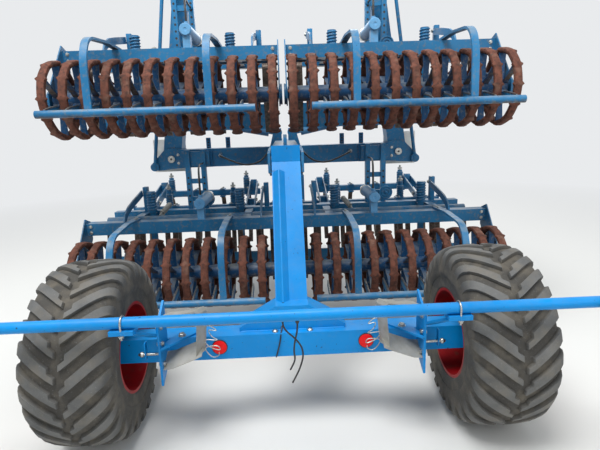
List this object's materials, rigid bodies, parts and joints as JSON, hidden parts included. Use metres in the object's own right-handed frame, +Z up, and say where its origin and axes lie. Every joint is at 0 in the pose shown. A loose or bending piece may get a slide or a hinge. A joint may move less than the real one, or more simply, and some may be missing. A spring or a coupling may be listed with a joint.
{
  "type": "folding seedbed cultivator",
  "caption": "Rear-wheeled, semi-mounted seedbed cultivator with ring rollers, tines and levelling boards, wings folded upright for the road",
  "frame": {"origin": "centre of the bounding box at floor level", "axes": "+X right seen from behind, +Y direction of travel, +Z up"},
  "size_m": [2.988, 3.54, 2.7953],
  "materials": {
    "frame_paint": "mid-blue gloss enamel, dusty and chipped at the edges",
    "module_paint": "the same blue, duller with dried soil",
    "rim_paint": "red enamel on pressed steel",
    "tyre": "dusty grey-black tyre rubber",
    "ring_steel": "bare cast rings, rust brown with polished crests",
    "tine_steel": "spring steel, dark, worn bright at the points",
    "galvanised": "hot-dip galvanised steel",
    "rod_chrome": "hard-chromed piston rod",
    "cylinder_paint": "light blue painted hydraulic tube",
    "board_white": "white sheet",
    "hose_rubber": "black hydraulic hose and cable sheath"
  },
  "bodies": {
    "chassis": {"spine": "frame_paint", "neck": "frame_paint", "cross_beam": "frame_paint", "marker_boards": "board_white", "inner_frame_left": "module_paint", "inner_scraper_left": "module_paint", "inner_tines_left": "tine_steel", "inner_board_left": "module_paint", "inner_cylinder_left": "cylinder_paint", "inner_frame_right": "module_paint", "inner_scraper_right": "module_paint", "inner_tines_right": "tine_steel", "inner_board_right": "module_paint", "inner_cylinder_right": "cylinder_paint", "beam_hose_left": "hose_rubber", "inner_hose_left": "hose_rubber", "beam_hose_right": "hose_rubber", "inner_hose_right": "hose_rubber"},
    "running_gear": {"axle_beam": "frame_paint", "gear_column": "frame_paint", "light_bar": "frame_paint", "bar_brackets": "frame_paint", "light_cable_left": "hose_rubber", "light_cable_right": "hose_rubber"},
    "gear_tube": {"gear_barrel": "cylinder_paint"},
    "gear_piston": {"gear_rod": "rod_chrome"},
    "hitch": {"hitch_crossbar": "frame_paint"},
    "stand": {"parking_stand": "galvanised"},
    "wheel_left": {"rim_left": "rim_paint", "tyre_left": "tyre"},
    "wing_left": {"wing_arm_left": "frame_paint"},
    "module_left": {"outer_frame_left": "module_paint", "outer_scraper_left": "module_paint", "outer_tines_left": "tine_steel", "outer_board_left": "module_paint", "outer_cylinder_left": "cylinder_paint", "outer_hose_left": "hose_rubber"},
    "link_left": {"level_link_left": "frame_paint"},
    "fold_tube_left": {"fold_barrel_left": "cylinder_paint"},
    "fold_piston_left": {"fold_rod_left": "rod_chrome"},
    "inner_ring_roller_left": {"inner_roller_left": "ring_steel"},
    "outer_ring_roller_left": {"outer_roller_left": "ring_steel"},
    "wheel_right": {"rim_right": "rim_paint", "tyre_right": "tyre"},
    "wing_right": {"wing_arm_right": "frame_paint"},
    "module_right": {"outer_frame_right": "module_paint", "outer_scraper_right": "module_paint", "outer_tines_right": "tine_steel", "outer_board_right": "module_paint", "outer_cylinder_right": "cylinder_paint", "outer_hose_right": "hose_rubber"},
    "link_right": {"level_link_right": "frame_paint"},
    "fold_tube_right": {"fold_barrel_right": "cylinder_paint"},
    "fold_piston_right": {"fold_rod_right": "rod_chrome"},
    "inner_ring_roller_right": {"inner_roller_right": "ring_steel"},
    "outer_ring_roller_right": {"outer_roller_right": "ring_steel"}
  },
  "joints": [
    {"name": "gear_lift", "type": "hinge", "parent": "chassis", "child": "running_gear", "pos_m": [0, -0.745, 1.28], "axis": [1, 0, 0], "range_deg": [-25, 0]},
    {"name": "gear_tube_pivot", "type": "hinge", "parent": "chassis", "child": "gear_tube", "pos_m": [0, 0.295, 1.015], "axis": [1, 0, 0], "range_deg": [-1.88, 0]},
    {"name": "gear_piston_slide", "type": "slide", "parent": "gear_tube", "child": "gear_piston", "axis": [0, -0.9999, -0.0141], "range_m": [0, 0.117]},
    {"name": "hitch_swivel", "type": "hinge", "parent": "chassis", "child": "hitch", "pos_m": [0, 1.695, 0.56], "axis": [0, 0, 1], "range_deg": [-50, 50]},
    {"name": "stand_slide", "type": "slide", "parent": "chassis", "child": "stand", "axis": [0, 0, 1], "range_m": [0, 0.35]},
    {"name": "wheel_spin_left", "type": "hinge", "parent": "running_gear", "child": "wheel_left", "pos_m": [-0.95, -1.265, 0.437], "axis": [1, 0, 0], "continuous": true},
    {"name": "wing_fold_left", "type": "hinge", "parent": "chassis", "child": "wing_left", "pos_m": [-0.96, 0.615, 1.235], "axis": [0, -1, 0], "range_deg": [0, 86.51]},
    {"name": "module_level_left", "type": "hinge", "parent": "wing_left", "child": "module_left", "pos_m": [-0.75, 0.615, 2.72528], "axis": [0, -1, 0], "range_deg": [-86.52, 0]},
    {"name": "link_swing_left", "type": "hinge", "parent": "chassis", "child": "link_left", "pos_m": [-1.1, 0.505, 1.175], "axis": [0, -1, 0], "range_deg": [0, 86.52]},
    {"name": "fold_tube_pivot_left", "type": "hinge", "parent": "chassis", "child": "fold_tube_left", "pos_m": [-0.06, 0.615, 1.425], "axis": [0, -1, 0], "range_deg": [0, 9.68]},
    {"name": "fold_piston_slide_left", "type": "slide", "parent": "fold_tube_left", "child": "fold_piston_left", "axis": [-0.9819, 0, 0.1896], "range_m": [0, 0.4987]},
    {"name": "inner_roller_spin_left", "type": "hinge", "parent": "chassis", "child": "inner_ring_roller_left", "pos_m": [-0.75, -0.28, 0.49], "axis": [1, 0, 0], "continuous": true},
    {"name": "outer_roller_spin_left", "type": "hinge", "parent": "module_left", "child": "outer_ring_roller_left", "pos_m": [-0.75, -0.28, 1.68], "axis": [1, 0, 0], "continuous": true},
    {"name": "wheel_spin_right", "type": "hinge", "parent": "running_gear", "child": "wheel_right", "pos_m": [0.95, -1.265, 0.437], "axis": [1, 0, 0], "continuous": true},
    {"name": "wing_fold_right", "type": "hinge", "parent": "chassis", "child": "wing_right", "pos_m": [0.96, 0.615, 1.235], "axis": [0, 1, 0], "range_deg": [0, 86.51]},
    {"name": "module_level_right", "type": "hinge", "parent": "wing_right", "child": "module_right", "pos_m": [0.75, 0.615, 2.72528], "axis": [0, 1, 0], "range_deg": [-86.52, 0]},
    {"name": "link_swing_right", "type": "hinge", "parent": "chassis", "child": "link_right", "pos_m": [1.1, 0.505, 1.175], "axis": [0, 1, 0], "range_deg": [0, 86.52]},
    {"name": "fold_tube_pivot_right", "type": "hinge", "parent": "chassis", "child": "fold_tube_right", "pos_m": [0.06, 0.615, 1.425], "axis": [0, 1, 0], "range_deg": [0, 9.68]},
    {"name": "fold_piston_slide_right", "type": "slide", "parent": "fold_tube_right", "child": "fold_piston_right", "axis": [0.9819, 0, 0.1896], "range_m": [0, 0.4987]},
    {"name": "inner_roller_spin_right", "type": "hinge", "parent": "chassis", "child": "inner_ring_roller_right", "pos_m": [0.75, -0.28, 0.49], "axis": [1, 0, 0], "continuous": true},
    {"name": "outer_roller_spin_right", "type": "hinge", "parent": "module_right", "child": "outer_ring_roller_right", "pos_m": [0.75, -0.28, 1.68], "axis": [1, 0, 0], "continuous": true}
  ],
  "couplings": [
    {"joint": "gear_tube_pivot", "follows": "gear_lift", "ratio": 0.0748},
    {"joint": "gear_piston_slide", "follows": "gear_lift", "m_per_rad": -0.2661},
    {"joint": "module_level_left", "follows": "wing_fold_left", "ratio": -1},
    {"joint": "link_swing_left", "follows": "wing_fold_left", "ratio": 1},
    {"joint": "fold_tube_pivot_left", "follows": "wing_fold_left", "ratio": 0.11167},
    {"joint": "fold_piston_slide_left", "follows": "wing_fold_left", "m_per_rad": 0.32965},
    {"joint": "module_level_right", "follows": "wing_fold_right", "ratio": -1},
    {"joint": "link_swing_right", "follows": "wing_fold_right", "ratio": 1},
    {"joint": "fold_tube_pivot_right", "follows": "wing_fold_right", "ratio": 0.11167},
    {"joint": "fold_piston_slide_right", "follows": "wing_fold_right", "m_per_rad": 0.32965}
  ]
}
